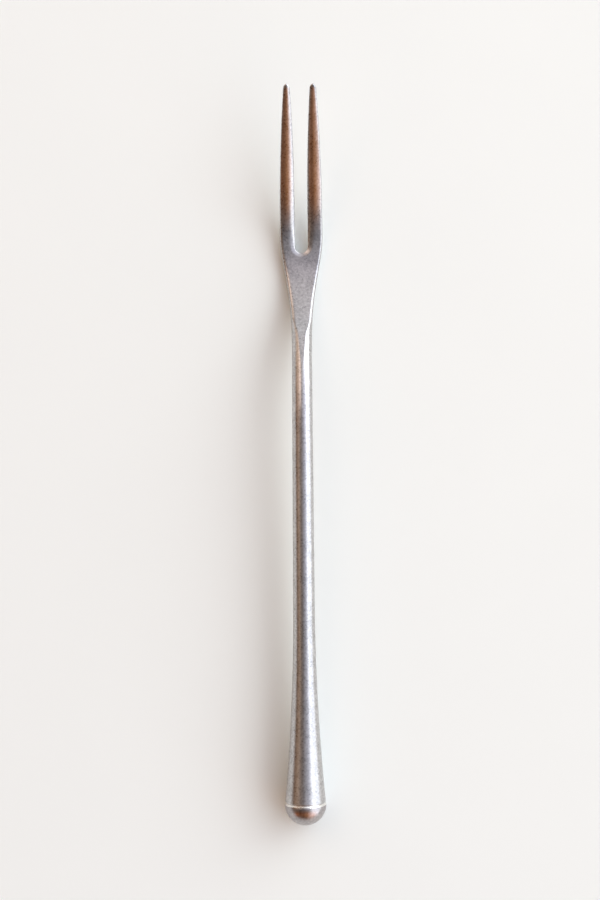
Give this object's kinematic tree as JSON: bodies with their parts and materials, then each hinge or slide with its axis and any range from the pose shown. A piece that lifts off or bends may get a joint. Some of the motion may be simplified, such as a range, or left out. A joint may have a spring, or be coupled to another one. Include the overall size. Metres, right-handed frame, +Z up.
{
  "type": "oyster fork",
  "caption": "Slim steel fork with narrow upswept tines, a flat-faced palm, a bent round neck and a hollow handle that flares to a domed cap.",
  "frame": {"origin": "on the table under the middle of the fork's box: the fork lies on the back of its head and on its cap, which both touch z = 0", "axes": "+Y along the fork towards the tips of the tines, +Z up, out of the hollow side of the head, +X across the tines"},
  "size_m": [0.009, 0.1516, 0.0172],
  "materials": {
    "forged_steel": "tumbled satin, softly speckled",
    "tube_steel": "tumbled satin, softly speckled",
    "bedding_resin": "cast, matt",
    "bright_ring": "turned bright",
    "cap_steel": "tumbled satin, softly speckled"
  },
  "bodies": {
    "root": {"fork_head": "forged_steel", "handle_shell": "tube_steel", "handle_filler": "bedding_resin", "seam_ring": "bright_ring", "end_cap": "cap_steel"}
  },
  "joints": []
}
